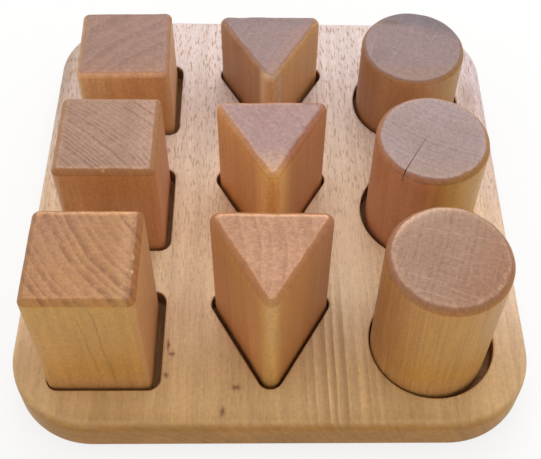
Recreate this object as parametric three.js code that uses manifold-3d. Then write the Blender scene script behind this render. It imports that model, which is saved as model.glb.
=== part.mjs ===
// Size grading puzzle: a round-cornered board with routed pockets in a square grid.
// The left column holds square blocks, the middle one triangular blocks and the right one cylinders.
// In every column the tallest block stands at the front and the shortest at the back.
// Millimetres, +Z up, +X to the right, +Y to the back, origin at the middle of the board's underside.
import * as THREE from 'three';
import { mergeVertices } from 'three/addons/utils/BufferGeometryUtils.js';
import Module from 'manifold-3d';

// Blocks
const squareSide = 39.2;
const triangleSide = 49.6; // between the corners as they would be with sharp edges
const cylinderDiameter = 45;
const tallHeight = 69;
const middleHeight = 58;
const shortHeight = 45;
const triangleTrim = 2; // the triangular blocks are cut this much shorter
const endChamfer = 2.4; // all round the top and the bottom
const squareEndCorner = 0.4; // radius at the corners of the flat end, inside the chamfer
const triangleEndCorner = 1.2;

// Pockets
const pocketClearances = { square: 1.8, triangle: 1.4, cylinder: 1.9 }; // all round the block
const seatGap = 0.3; // the least that a block which stands to one side keeps to the wall
const pocketDepth = 8;
const floorThickness = 8; // left under the pockets
const rimChamfer = 0.7;
const wallBetweenPockets = 14.2; // between the widest pockets of two neighbouring columns or rows
const gridShift = 0.6; // of all the pockets to the left of the board's middle line
const cylinderLead = 0.6; // of the round pockets in front of their row's middle line

// Board
const sideMargin = 12.6; // from the widest pocket to the board's edge
const frontMargin = 12.4;
const backMargin = 28.8;
const boardCornerRadius = 33;
const boardTopRound = 3.5;
const boardBottomRound = 2;

// Facets
const facetError = 0.05; // largest gap between a facet and the true arc
const roundFacets = 4; // across a rounded edge of the board
const cutterOverrun = 1; // how far the cutters stand out of the board

// How each block stands in its pocket, as shares of the room that it has there.
// x and y move it, turn twists it, and the size of the move and the twist add up to less than 1.
const seats = {
  square: [
    { x: -0.87, y: -0.44, turn: 0 },
    { x: -0.27, y: -0.27, turn: 0.05 },
    { x: -0.4, y: -0.35, turn: 0.44 },
  ],
  triangle: [
    { x: 0.27, y: 0.24, turn: -0.07 },
    { x: 0.45, y: -0.1, turn: 0.3 },
    { x: -0.27, y: 0.5, turn: 0.32 },
  ],
  cylinder: [
    { x: -0.86, y: -0.4, turn: 0 },
    { x: 0.24, y: -0.55, turn: 0 },
    { x: -0.34, y: -0.35, turn: 0 },
  ],
};

// An outline is a ring of arcs: the centres of its corners, counter-clockwise, and their radius.
// A wider radius on the same centres grows it evenly, as a pocket is grown from its block.
const squareEdgeRadius = squareEndCorner + endChamfer; // of the upright edges
const triangleEdgeRadius = triangleEndCorner + endChamfer;

function rectangleCentres(width, depth, radius) {
  const x = width / 2 - radius;
  const y = depth / 2 - radius;
  return [
    [-x, -y],
    [x, -y],
    [x, y],
    [-x, y],
  ];
}

// One corner points to the front and the flat side lies at the back.
function triangleCentres(side, radius) {
  const reach = side / Math.sqrt(3) - 2 * radius;
  return [-90, 30, 150].map((degrees) => {
    const angle = THREE.MathUtils.degToRad(degrees);
    return [reach * Math.cos(angle), reach * Math.sin(angle)];
  });
}

const outlines = {
  square: {
    centres: rectangleCentres(squareSide, squareSide, squareEdgeRadius),
    radius: squareEdgeRadius,
  },
  triangle: {
    centres: triangleCentres(triangleSide, triangleEdgeRadius),
    radius: triangleEdgeRadius,
  },
  cylinder: {
    centres: [[0, 0]],
    radius: cylinderDiameter / 2,
  },
};

function grow(outline, distance) {
  return { centres: outline.centres, radius: outline.radius + distance };
}

function outlineShape({ centres, radius }) {
  const shape = new THREE.Shape();
  if (centres.length === 1) {
    shape.absarc(centres[0][0], centres[0][1], radius, 0, 2 * Math.PI, false);
    return shape;
  }
  const sweep = (2 * Math.PI) / centres.length;
  centres.forEach(([x, y], i) => {
    const [nextX, nextY] = centres[(i + 1) % centres.length];
    const end = Math.atan2(nextY - y, nextX - x) - Math.PI / 2;
    shape.absarc(x, y, radius, end - sweep, end, false);
  });
  return shape;
}

// Arcs are cut into twice this many facets.
function arcDivisions({ centres, radius }) {
  const sweep = (2 * Math.PI) / centres.length;
  const facetAngle = 2 * Math.acos(1 - facetError / radius);
  return Math.ceil(sweep / facetAngle / 2);
}

// A solid that stands on z = bottom, with its upper and lower edges taken off.
// One facet across an edge makes a chamfer and several make a round.
function easedPrism(outline, bottom, height, edge, edgeFacets) {
  const geometry = new THREE.ExtrudeGeometry(outlineShape(outline), {
    depth: height - 2 * edge,
    curveSegments: arcDivisions(outline),
    bevelThickness: edge,
    bevelSize: edge,
    bevelOffset: -edge,
    bevelSegments: edgeFacets,
  });
  return geometry.translate(0, 0, bottom + edge);
}

function straightPrism(outline, bottom, height) {
  const geometry = new THREE.ExtrudeGeometry(outlineShape(outline), {
    depth: height,
    curveSegments: arcDivisions(outline),
    bevelEnabled: false,
  });
  return geometry.translate(0, 0, bottom);
}

// Widens from the outline at z = bottom by the chamfer's size over the same height.
function chamferPrism(outline, bottom, chamfer, height) {
  const geometry = new THREE.ExtrudeGeometry(outlineShape(outline), {
    depth: height,
    curveSegments: arcDivisions(outline),
    bevelThickness: chamfer,
    bevelSize: chamfer,
    bevelSegments: 1,
  });
  return geometry.translate(0, 0, bottom + chamfer);
}

// Cutting and joining
const wasm = await Module();
wasm.setup();

function toSolid(geometry) {
  const bare = geometry.clone();
  bare.deleteAttribute('normal');
  bare.deleteAttribute('uv');
  const merged = mergeVertices(bare);
  return new wasm.Manifold(
    new wasm.Mesh({
      numProp: 3,
      vertProperties: new Float32Array(merged.attributes.position.array),
      triVerts: new Uint32Array(merged.index.array),
    }),
  );
}

function toGeometry(solid) {
  const mesh = solid.getMesh();
  const geometry = new THREE.BufferGeometry();
  geometry.setAttribute('position', new THREE.BufferAttribute(mesh.vertProperties, 3));
  geometry.setIndex(new THREE.BufferAttribute(mesh.triVerts, 1));
  geometry.computeVertexNormals();
  return geometry;
}

// The grid follows from the blocks: each pocket is its block grown by the clearance.
const pockets = {};
for (const [shapeName, outline] of Object.entries(outlines)) {
  pockets[shapeName] = grow(outline, pocketClearances[shapeName]);
}

function widthOf({ centres, radius }) {
  const xs = centres.map(([x]) => x);
  return Math.max(...xs) - Math.min(...xs) + 2 * radius;
}

function depthOf({ centres, radius }) {
  const ys = centres.map(([, y]) => y);
  return Math.max(...ys) - Math.min(...ys) + 2 * radius;
}

const pocketSpans = Object.values(pockets).flatMap((pocket) => [widthOf(pocket), depthOf(pocket)]);
const widestPocket = Math.max(...pocketSpans);
const pocketPitch = widestPocket + wallBetweenPockets;
const boardWidth = 2 * pocketPitch + widestPocket + 2 * sideMargin;
const boardDepth = 2 * pocketPitch + widestPocket + frontMargin + backMargin;
const boardThickness = pocketDepth + floorThickness;
const frontRowY = -boardDepth / 2 + frontMargin + widestPocket / 2;

const columns = ['square', 'triangle', 'cylinder'];
const trims = { square: 0, triangle: triangleTrim, cylinder: 0 };
const leads = { square: 0, triangle: 0, cylinder: cylinderLead };
const rows = [
  { size: 'tall', height: tallHeight },
  { size: 'middle', height: middleHeight },
  { size: 'short', height: shortHeight },
];

// An outline is drawn about its centre of area, so its depth is first centred on the row's middle line.
function pocketCentre(column, row) {
  const shapeName = columns[column];
  const ys = outlines[shapeName].centres.map(([, y]) => y);
  const x = (column - 1) * pocketPitch - gridShift;
  const y = frontRowY + row * pocketPitch - (Math.max(...ys) + Math.min(...ys)) / 2;
  return [x, y - leads[shapeName]];
}

function pocketCutter(outline) {
  const rim = boardThickness - rimChamfer;
  const well = toSolid(straightPrism(outline, floorThickness, pocketDepth + cutterOverrun));
  return well.add(toSolid(chamferPrism(outline, rim, rimChamfer, cutterOverrun)));
}

function boardGeometry() {
  const outline = {
    centres: rectangleCentres(boardWidth, boardDepth, boardCornerRadius),
    radius: boardCornerRadius,
  };
  // Two slabs that are rounded differently, one reaching past the board's bottom and one past its top.
  const height = 2 * boardThickness;
  const roundedAbove = toSolid(easedPrism(outline, -boardThickness, height, boardTopRound, roundFacets));
  const roundedBelow = toSolid(easedPrism(outline, 0, height, boardBottomRound, roundFacets));
  let board = roundedAbove.intersect(roundedBelow);
  columns.forEach((shapeName, column) => {
    const cutter = pocketCutter(pockets[shapeName]);
    rows.forEach((_, row) => {
      board = board.subtract(cutter.translate([...pocketCentre(column, row), 0]));
    });
  });
  return toGeometry(board);
}

const boardBeech = new THREE.MeshStandardMaterial({ color: 0xd8b08a, roughness: 0.6, metalness: 0 });
const blockBeech = new THREE.MeshStandardMaterial({ color: 0xb98a62, roughness: 0.55, metalness: 0 });

const puzzle = new THREE.Group();

const board = new THREE.Mesh(boardGeometry(), boardBeech);
board.name = 'board';
puzzle.add(board);

// How far a block's outline reaches from its middle.
function reachOf({ centres, radius }) {
  return Math.max(...centres.map(([x, y]) => Math.hypot(x, y))) + radius;
}

columns.forEach((shapeName, column) => {
  const outline = outlines[shapeName];
  const room = pocketClearances[shapeName] - seatGap;
  rows.forEach(({ size, height }, row) => {
    const seat = seats[shapeName][row];
    const [x, y] = pocketCentre(column, row);
    const solid = easedPrism(outline, 0, height - trims[shapeName], endChamfer, 1);
    const block = new THREE.Mesh(solid, blockBeech);
    block.name = `${shapeName}_block_${size}`;
    block.position.set(x + seat.x * room, y + seat.y * room, floorThickness);
    block.rotation.z = (seat.turn * room) / reachOf(outline);
    puzzle.add(block);
  });
});

export default puzzle;
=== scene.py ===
# Size grading puzzle: an oiled beech board with nine loose blocks in routed pockets.
import math

import bmesh
import bpy
import numpy as np
from mathutils import Matrix, Vector, noise
from mathutils.geometry import delaunay_2d_cdt


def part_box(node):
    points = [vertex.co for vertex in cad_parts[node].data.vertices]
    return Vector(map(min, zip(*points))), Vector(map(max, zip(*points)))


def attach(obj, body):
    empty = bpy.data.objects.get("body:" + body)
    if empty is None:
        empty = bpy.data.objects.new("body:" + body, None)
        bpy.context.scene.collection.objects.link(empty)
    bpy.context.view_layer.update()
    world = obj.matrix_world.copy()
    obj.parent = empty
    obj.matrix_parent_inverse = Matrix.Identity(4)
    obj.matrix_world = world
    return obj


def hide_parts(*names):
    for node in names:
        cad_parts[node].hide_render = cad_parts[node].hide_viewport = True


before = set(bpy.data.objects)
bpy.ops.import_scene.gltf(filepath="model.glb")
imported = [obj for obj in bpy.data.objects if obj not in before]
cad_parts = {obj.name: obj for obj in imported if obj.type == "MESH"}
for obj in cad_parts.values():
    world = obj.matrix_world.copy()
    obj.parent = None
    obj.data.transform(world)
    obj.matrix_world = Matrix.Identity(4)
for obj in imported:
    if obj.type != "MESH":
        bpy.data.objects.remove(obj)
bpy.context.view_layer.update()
print("frame loaded with", len(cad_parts), "nodes")

mm = 0.001  # sizes below are in millimetres
sameHeight = 0.05  # points that differ by less lie on one level
leastArcSteps = 10  # round a corner
shapes = ("square", "triangle", "cylinder")
sizes = ("tall", "middle", "short")


# Reading the blocks and pockets off the frame

firstCorner = {"square": -0.75 * math.pi, "triangle": -0.5 * math.pi}
cornerCount = {"square": 4, "triangle": 3}
flatSide = {"square": 0.0, "triangle": 0.5 * math.pi, "cylinder": 0.0}  # where a side faces


def cadPoints(node):
    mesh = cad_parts[node].data
    points = np.array([vert.co[:] for vert in mesh.vertices]) / mm
    return np.unique(points.round(3), axis=0)


def readOutline(points, shape):
    # the middle, the turn and the distance from the middle to a side
    middle = points[:, :2].mean(0)
    flat = (points[:, 0] - middle[0]) + 1j * (points[:, 1] - middle[1])
    turn = 0.0
    if shape in cornerCount:
        count = cornerCount[shape]
        turn = np.angle(np.sum(flat**count) * np.exp(-1j * count * firstCorner[shape])) / count
    half = np.real(flat * np.exp(-1j * (turn + flatSide[shape]))).max()
    return {"middle": middle, "turn": float(turn), "half": float(half)}


def readBlocks():
    blocks = {}
    for shape in shapes:
        for size in sizes:
            node = f"{shape}_block_{size}"
            points = cadPoints(node)
            block = readOutline(points, shape)
            block.update(shape=shape, low=points[:, 2].min(), high=points[:, 2].max())
            blocks[node] = block
    return blocks


def readPockets(blocks):
    # every pocket's floor is where its block stands, so its outline is read there
    points = cadPoints("board")
    floor = min(block["low"] for block in blocks.values())
    points = points[abs(points[:, 2] - floor) < sameHeight]
    names = list(blocks)
    middles = np.array([blocks[name]["middle"] for name in names])
    nearest = np.linalg.norm(points[:, None, :2] - middles[None], axis=2).argmin(1)
    pockets = {}
    for i, name in enumerate(names):
        pockets[name] = readOutline(points[nearest == i], blocks[name]["shape"])
        pockets[name]["floor"] = floor
    return pockets


blocks = readBlocks()
pockets = readPockets(blocks)
print("read", len(blocks), "blocks and", len(pockets), "pockets")


# Outlines and meshes

def outlineCentres(shape, half, radius):
    # where the arcs of the corners are centred, counter-clockwise
    inner = half - radius
    if shape == "square":
        return [(-inner, -inner), (inner, -inner), (inner, inner), (-inner, inner)]
    if shape == "triangle":
        angles = [firstCorner[shape] + k * 2 * math.pi / 3 for k in range(3)]
        return [(2 * inner * math.cos(a), 2 * inner * math.sin(a)) for a in angles]
    return [(0.0, 0.0)]


def traceOutline(centres, radius, spacing):
    # points along the outline and the outward direction at each
    count = len(centres)
    sweep = 2 * math.pi / count
    arcSteps = max(leastArcSteps, math.ceil(sweep * radius / spacing))
    points, outward = [], []
    for i, centre in enumerate(centres):
        here = np.array(centre)
        run = np.array(centres[(i + 1) % count]) - here
        end = math.atan2(run[1], run[0]) - math.pi / 2
        for k in range(arcSteps):
            angle = end - sweep + sweep * k / arcSteps
            direction = np.array((math.cos(angle), math.sin(angle)))
            points.append(here + radius * direction)
            outward.append(direction)
        direction = np.array((math.cos(end), math.sin(end)))
        runSteps = math.ceil(np.linalg.norm(run) / spacing)
        for k in range(runSteps):
            points.append(here + radius * direction + run * k / runSteps)
            outward.append(direction)
    return np.array(points), np.array(outward)


def ringAt(outline, inset, z):
    # one closed loop; inset and z may differ from point to point
    points, outward = outline
    count = len(points)
    inset = np.broadcast_to(inset, count)
    z = np.broadcast_to(z, count)
    return np.column_stack([points - outward * inset[:, None], z])


def quarterRound(outline, radius, z, steps, rising):
    # loops from the wall in to the flat face, or from the flat face out to the wall
    rings = []
    for k in range(steps + 1):
        angle = 0.5 * math.pi * k / steps
        inset = radius * (1 - math.cos(angle))
        climb = radius * (1 - math.sin(angle))
        rings.append(ringAt(outline, inset, z - climb if rising else z + climb))
    return rings if rising else rings[::-1]


def addRings(bm, rings, slot=0):
    rows = [[bm.verts.new(co) for co in ring] for ring in rings]
    for low, high in zip(rows, rows[1:]):
        for k in range(len(low)):
            n = (k + 1) % len(low)
            face = bm.faces.new((low[k], low[n], high[n], high[k]))
            face.material_index = slot
    return rows


def addPiece(name, bm, place, materials):
    bmesh.ops.recalc_face_normals(bm, faces=bm.faces)
    bm.transform(Matrix.Scale(mm, 4))
    mesh = bpy.data.meshes.new(name)
    bm.to_mesh(mesh)
    bm.free()
    for material in materials:
        mesh.materials.append(material)
    mesh.shade_smooth()
    piece = bpy.data.objects.new(name, mesh)
    piece.matrix_world = place
    bpy.context.scene.collection.objects.link(piece)
    return piece


# Shader nodes

def srgb(*levels):
    # a colour as a picture shows it, 0 to 255, in linear light
    shares = [level / 255 for level in levels]
    linear = [s / 12.92 if s <= 0.04045 else ((s + 0.055) / 1.055) ** 2.4 for s in shares]
    return (*linear, 1.0)


def shade(colour, tint):
    return (*(min(1.0, c * t) for c, t in zip(colour, tint)), 1.0)


def feed(tree, socket, value):
    if isinstance(value, bpy.types.NodeSocket):
        tree.links.new(value, socket)
    else:
        socket.default_value = value


def addNode(tree, kind, inputs=None, **settings):
    node = tree.nodes.new(kind)
    for name, value in settings.items():
        setattr(node, name, value)
    for name, value in (inputs or {}).items():
        feed(tree, node.inputs[name], value)
    return node


def calc(tree, operation, *values):
    node = addNode(tree, "ShaderNodeMath", operation=operation)
    for socket, value in zip(node.inputs, values):
        feed(tree, socket, value)
    return node.outputs[0]


def vectorCalc(tree, operation, *values):
    node = addNode(tree, "ShaderNodeVectorMath", operation=operation)
    for socket, value in zip(node.inputs, values):
        feed(tree, socket, value)
    return node.outputs["Value"] if operation in ("LENGTH", "DOT_PRODUCT") else node.outputs["Vector"]


def fade(tree, value, low, high, start=0.0, end=1.0):
    # a soft step
    node = addNode(
        tree,
        "ShaderNodeMapRange",
        {"Value": value, "From Min": low, "From Max": high, "To Min": start, "To Max": end},
        interpolation_type="SMOOTHSTEP",
    )
    return node.outputs["Result"]


def fadeOut(tree, value, low, high, strength=1.0):
    return fade(tree, value, low, high, strength, 0.0)


def blendColour(tree, share, first, second, blend="MIX"):
    # inputs 6 and 7 and output 2 are the node's sockets for colours
    node = addNode(tree, "ShaderNodeMix", data_type="RGBA", blend_type=blend)
    feed(tree, node.inputs[0], share)
    feed(tree, node.inputs[6], first)
    feed(tree, node.inputs[7], second)
    return node.outputs[2]


def speckle(tree, vector, scale, detail=2.0, output="Fac"):
    node = addNode(tree, "ShaderNodeTexNoise", {"Vector": vector, "Scale": scale, "Detail": detail})
    return node.outputs[output]


def stray(tree, vector, size, detail=2.0):
    # noise from -1 to 1 along every axis
    colour = speckle(tree, vector, size, detail, "Color")
    return vectorCalc(tree, "MULTIPLY_ADD", colour, (2.0, 2.0, 2.0), (-1.0, -1.0, -1.0))


def waver(tree, along, scale):
    # noise along one line
    node = addNode(tree, "ShaderNodeTexNoise", {"W": along, "Scale": scale}, noise_dimensions="1D")
    return node.outputs["Fac"]


# Beech as a solid: growth rings round a pith, rays that run out from it, fibres along the piece.
# Sides show upright grain and flecks, ends show rings and pale rays, from one and the same pattern.

beech = {
    "leanShare": 0.7,  # upright fibres lean sideways by this share of their slope
    "bend": 2.2,  # how far the rings wander
    "bendSize": 0.03,  # waves per millimetre
    "ripple": 0.5,  # a finer wander
    "rippleSize": 0.2,
    "wanderStretch": 0.12,  # both change more slowly along the fibres
    "uneven": 0.8,  # spread of the ring widths, in ring widths
    "unevenSize": 0.37,
    "lateEnd": (0.9, 1.0),  # where in a ring the dark late wood breaks off
    "earlyEnd": (0.0, 0.25),  # where in a ring the pale early wood dies away
    "faintest": 0.3,  # strength of the faintest ring
    "breakSize": 0.3,  # patches in which the rings of an end fade
    "breakRange": (0.35, 0.6),
    "breakLeast": 0.35,  # what is left of a ring there
    "rayThickness": 0.48,
    "rayLength": 22.0,
    "rayHeight": 3.0,
    "raySoft": (0.0, 0.12),  # soft border of a ray, in levels of its noise
    "fleckSoft": (-0.04, 0.16),
    "poreThickness": 0.3,
    "poreLength": 9.0,
    "streakWidth": 3.0,
    "streakLength": 70.0,
    "fibreWidth": 0.8,
    "driftSize": 0.05,  # wide pale and deep areas
    "driftStretch": 0.25,
    "driftRange": (0.3, 0.7),
    "mottleSize": 0.9,
    "blotchSize": 0.45,
    "toneRange": (0.25, 0.75),  # the levels of a noise between which a tone changes
    "spotEdge": 0.6,  # waves per millimetre along a ragged spot's edge
    "spotHeart": 0.1,  # this share of a spot has its full strength
    "scratchWidth": 0.5,
    "scratchEnds": (0.3, 0.6),  # a scratch is whole between these shares of its length
    "soakFrom": (0.15, 0.5),  # how far an edge leans over where the oil sets in
    "soakTo": (0.8, 0.98),  # and where it ends
    "soakPatches": (0.3, 0.7),
    "soakLeast": 0.8,
    "wearAndGlintPatches": (0.35, 0.65),
    "wearAndGlintLeast": 0.3,
    "dullPores": 0.16,  # added to the roughness
    "dullEnds": 0.08,
    "grainBump": 0.00012,
    "bumpStrength": 0.5,
    "rayDip": 0.7,
    "lateDip": 0.5,
    # how the parts of the pattern tint a piece's own colour
    "pale": (1.07, 1.08, 1.1),
    "deep": (0.94, 0.92, 0.88),
    "sideLine": (0.62, 0.52, 0.45),
    "endLine": (0.62, 0.52, 0.45),
    "endEarly": (1.12, 1.14, 1.14),
    "fleck": (0.6, 0.5, 0.42),
    "ray": (1.3, 1.36, 1.44),
    "soaked": (0.62, 0.63, 0.57),
    "wearAndGlintTint": (1.3, 1.27, 1.15),
    # marks and changes of colour that only some pieces have; the changes towards one side are partly
    # painted light and shade, partly the wood's own tone
    "toneAndLight": (),
    "endToneAndLight": (),
    "tints": (),
    "edgeLightAndSoak": (),
    "rimLightAndShade": (),
    "scratches": (),
    "lines": (),
    "spots": (),
}


def grainFrame(tree, wood):
    # x points away from the pith and z along the fibres, in millimetres
    place = addNode(tree, "ShaderNodeTexCoord")
    slope = math.radians(wood["slope"])
    lie, lean = slope, wood["leanShare"] * slope
    if wood["fibres"] == "y":
        lie, lean = math.radians(90), slope
    mapping = addNode(
        tree,
        "ShaderNodeMapping",
        {
            "Vector": place.outputs["Object"],
            "Location": (wood["pithDistance"], 0.0, 0.0),
            "Rotation": (lie, lean, -math.radians(wood["ringTurn"])),
            "Scale": (1 / mm, 1 / mm, 1 / mm),
        },
    )
    normal = addNode(tree, "ShaderNodeSeparateXYZ", {"Vector": place.outputs["Normal"]})
    across = calc(tree, "ABSOLUTE", normal.outputs[wood["fibres"].upper()])
    own = vectorCalc(tree, "MULTIPLY", place.outputs["Object"], (1 / mm, 1 / mm, 1 / mm))
    return mapping.outputs["Vector"], across, own


def ringPattern(tree, grain, wood):
    # the dark late and the pale early wood of each ring, 0 to 1, and the distance from the pith
    stretched = vectorCalc(tree, "MULTIPLY", grain, (1.0, 1.0, wood["wanderStretch"]))
    bent = grain
    for name in ("bend", "ripple"):
        reach = (wood[name], wood[name], 0.0)
        bent = vectorCalc(tree, "MULTIPLY_ADD", stray(tree, stretched, wood[name + "Size"]), reach, bent)
    radius = vectorCalc(tree, "LENGTH", vectorCalc(tree, "MULTIPLY", bent, (1.0, 1.0, 0.0)))
    count = calc(tree, "DIVIDE", radius, wood["ringWidth"])
    spread = waver(tree, count, wood["unevenSize"])
    count = calc(tree, "ADD", count, calc(tree, "MULTIPLY", spread, 2 * wood["uneven"]))
    share = calc(tree, "FRACT", count)
    late = fade(tree, share, *wood["late"])
    late = calc(tree, "MULTIPLY", late, fadeOut(tree, share, *wood["lateEnd"]))
    early = fadeOut(tree, share, *wood["earlyEnd"])
    ring = {"W": calc(tree, "FLOOR", count)}
    vigour = addNode(tree, "ShaderNodeTexWhiteNoise", ring, noise_dimensions="1D")
    strength = fade(tree, vigour.outputs["Value"], 0.0, 1.0, wood["faintest"], 1.0)
    return calc(tree, "MULTIPLY", late, strength), calc(tree, "MULTIPLY", early, strength), radius


def rayPattern(tree, grain, radius, wood):
    # thin upright lenses: lines on an end, short flecks on a side
    part = addNode(tree, "ShaderNodeSeparateXYZ", {"Vector": grain})
    angle = calc(tree, "ARCTAN2", part.outputs["Y"], part.outputs["X"])
    along = calc(tree, "MULTIPLY", angle, wood["pithDistance"] / wood["rayThickness"])
    out = calc(tree, "DIVIDE", radius, wood["rayLength"])
    up = calc(tree, "DIVIDE", part.outputs["Z"], wood["rayHeight"])
    lens = addNode(tree, "ShaderNodeCombineXYZ", {"X": along, "Y": out, "Z": up})
    low, high = wood["raySoft"]
    level = speckle(tree, lens.outputs["Vector"], 1.0, detail=0.0)
    return fade(tree, level, wood["rayShare"] + low, wood["rayShare"] + high)


def fleckPattern(tree, grain, wood):
    # short spindles along the fibres, as a flat-sawn face shows its rays
    low, high = wood["fleckSoft"]
    level = threads(tree, grain, wood["fleckWidth"], wood["fleckLength"], detail=0.0)
    return fade(tree, level, wood["rayShare"] + low, wood["rayShare"] + high)


def threads(tree, grain, width, length, detail):
    # noise drawn out along the fibres
    stretched = vectorCalc(tree, "MULTIPLY", grain, (1 / width, 1 / width, 1 / length))
    return speckle(tree, stretched, 1.0, detail)


def grainPatterns(tree, wood):
    # everything that the colours are mixed from
    grain, across, own = grainFrame(tree, wood)
    late, early, radius = ringPattern(tree, grain, wood)
    if "fleckWidth" in wood:
        rays = fleckPattern(tree, grain, wood)
    else:
        rays = rayPattern(tree, grain, radius, wood)
    drawn = vectorCalc(tree, "MULTIPLY", grain, (1.0, 1.0, wood["driftStretch"]))
    return {
        "own": own,
        "across": across,
        "late": late,
        "early": early,
        "rays": rays,
        "pores": threads(tree, grain, wood["poreThickness"], wood["poreLength"], detail=1.0),
        "streaks": threads(tree, grain, wood["streakWidth"], wood["streakLength"], detail=2.0),
        "fibres": threads(tree, grain, wood["fibreWidth"], wood["streakLength"], detail=2.0),
        "mottle": speckle(tree, own, wood["mottleSize"], detail=3.0),
        "blotch": speckle(tree, own, wood["blotchSize"], detail=2.0),
        "drift": fade(tree, speckle(tree, drawn, wood["driftSize"]), *wood["driftRange"]),
    }


def toned(tree, colour, pattern, spread):
    # paler and darker by this share along a pattern
    tone = fade(tree, pattern, *beech["toneRange"], 1 - spread, 1 + spread)
    return blendColour(tree, 1.0, colour, tone, "MULTIPLY")


def sideMask(tree, own, patch):
    # comes up from 0 to 1 towards one side of the piece
    reach = vectorCalc(tree, "DOT_PRODUCT", own, patch["toward"])
    return fade(tree, reach, *patch["between"])


def shiftToneAndLight(tree, own, colour, tonesAndLights):
    # another colour towards one side of the piece: partly its own tone, partly painted light and shade
    for toneAndLight in tonesAndLights:
        colour = blendColour(tree, sideMask(tree, own, toneAndLight), colour, toneAndLight["colour"])
    return colour


def tinted(tree, own, colour, patches, mask=1.0):
    # darker or paler towards one side of the piece, where the mask lets it; mostly painted light and
    # shade
    for patch in patches:
        share = calc(tree, "MULTIPLY", sideMask(tree, own, patch), mask)
        colour = blendColour(tree, share, colour, (*patch["tint"], 1.0), "MULTIPLY")
    return colour


def scratchMask(tree, own, scratch):
    # a thin straight line on a flat end, fainter towards its ends
    start, stop = np.array(scratch["from"]), np.array(scratch["to"])
    length = np.linalg.norm(stop - start)
    along = (stop - start) / length
    aside = np.array((-along[1], along[0]))
    off = vectorCalc(tree, "DOT_PRODUCT", own, (*aside, 0.0))
    off = calc(tree, "ABSOLUTE", calc(tree, "SUBTRACT", off, float(start @ aside)))
    run = vectorCalc(tree, "DOT_PRODUCT", own, (*along, 0.0))
    run = calc(tree, "SUBTRACT", run, float(start @ along))
    whole, fading = (share * length for share in beech["scratchEnds"])
    mask = fadeOut(tree, off, 0.0, beech["scratchWidth"], scratch["strength"])
    mask = calc(tree, "MULTIPLY", mask, fade(tree, run, 0.0, whole))
    return calc(tree, "MULTIPLY", mask, fadeOut(tree, run, fading, length))


def spotMask(tree, own, spot):
    # strongest in the middle, with a ragged edge
    ragged = spot["ragged"]
    away = vectorCalc(tree, "SUBTRACT", own, spot["at"])
    edge = stray(tree, own, beech["spotEdge"], detail=3.0)
    away = vectorCalc(tree, "MULTIPLY_ADD", edge, (ragged, ragged, ragged), away)
    away = vectorCalc(tree, "LENGTH", vectorCalc(tree, "DIVIDE", away, spot["reach"]))
    return fadeOut(tree, away, beech["spotHeart"], 1.0, spot["strength"])


def lineMask(tree, own, line):
    # a thin dark line that sways up the front of a block
    part = addNode(tree, "ShaderNodeSeparateXYZ", {"Vector": own})
    x, y, z = (part.outputs[axis] for axis in "XYZ")
    sway = waver(tree, calc(tree, "MULTIPLY_ADD", z, 1 / line["wave"], line["start"]), 1.0)
    middle = calc(tree, "MULTIPLY_ADD", z, line["lean"], line["at"])
    middle = calc(tree, "MULTIPLY_ADD", sway, line["sway"], middle)
    away = calc(tree, "ABSOLUTE", calc(tree, "SUBTRACT", x, middle))
    low, high = line["between"]
    mask = fadeOut(tree, away, 0.0, line["width"], line["strength"])
    mask = calc(tree, "MULTIPLY", mask, fade(tree, z, low, low + line["taper"]))
    mask = calc(tree, "MULTIPLY", mask, fadeOut(tree, z, high - line["taper"], high))
    return calc(tree, "MULTIPLY", mask, fadeOut(tree, y, *line["face"]))


def sideColour(tree, wood, patterns):
    own, base = patterns["own"], wood["side"]
    side = blendColour(tree, patterns["drift"], shade(base, wood["pale"]), shade(base, wood["deep"]))
    # towards one side the colour changes: partly the wood's own tone, partly painted light and shade
    side = shiftToneAndLight(tree, own, side, wood["toneAndLight"])
    lines = calc(tree, "MULTIPLY", patterns["late"], wood["sideRings"])
    if "stripes" in wood:
        striped = spotMask(tree, own, wood["stripes"])
        lines = calc(tree, "MULTIPLY_ADD", patterns["late"], striped, lines)
        bands = calc(tree, "MULTIPLY", patterns["early"], striped)
        side = blendColour(tree, bands, side, shade(base, wood["stripes"]["early"]))
    side = blendColour(tree, lines, side, shade(base, wood["sideLine"]))
    flecks = wood["flecks"]
    if "fleckFade" in wood:
        faint = wood["fleckFade"]["from"]
        flecks = calc(tree, "MULTIPLY_ADD", sideMask(tree, own, wood["fleckFade"]), flecks - faint, faint)
    flecks = calc(tree, "MULTIPLY", patterns["rays"], flecks)
    side = blendColour(tree, flecks, side, shade(base, wood["fleck"]))
    side = toned(tree, side, patterns["streaks"], wood["streaks"])
    return toned(tree, side, patterns["fibres"], wood["fibreTone"])


def endColour(tree, wood, patterns):
    own, base = patterns["own"], wood["end"]
    end = blendColour(tree, patterns["drift"], shade(base, wood["pale"]), shade(base, wood["deep"]))
    # towards one side the colour of the end changes: partly the wood's own tone, partly painted light and
    # the painted sheen of the back light
    end = shiftToneAndLight(tree, own, end, wood["endToneAndLight"])
    broken = speckle(tree, own, wood["breakSize"], detail=3.0)
    broken = fade(tree, broken, *wood["breakRange"], wood["breakLeast"], 1.0)
    lines = calc(tree, "MULTIPLY", calc(tree, "MULTIPLY", patterns["late"], wood["endRings"]), broken)
    bands = calc(tree, "MULTIPLY", patterns["early"], wood["endRings"])
    rays = calc(tree, "MULTIPLY", patterns["rays"], wood["endRays"])
    end = blendColour(tree, bands, end, shade(base, wood["endEarly"]))
    end = blendColour(tree, lines, end, shade(base, wood["endLine"]))
    end = blendColour(tree, rays, end, shade(base, wood["ray"]))
    for scratch in wood["scratches"]:
        mask = calc(tree, "MULTIPLY", scratchMask(tree, own, scratch), broken)
        end = blendColour(tree, mask, end, shade(base, wood["ray"]))
    return toned(tree, end, patterns["blotch"], wood["endMottle"])


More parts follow.
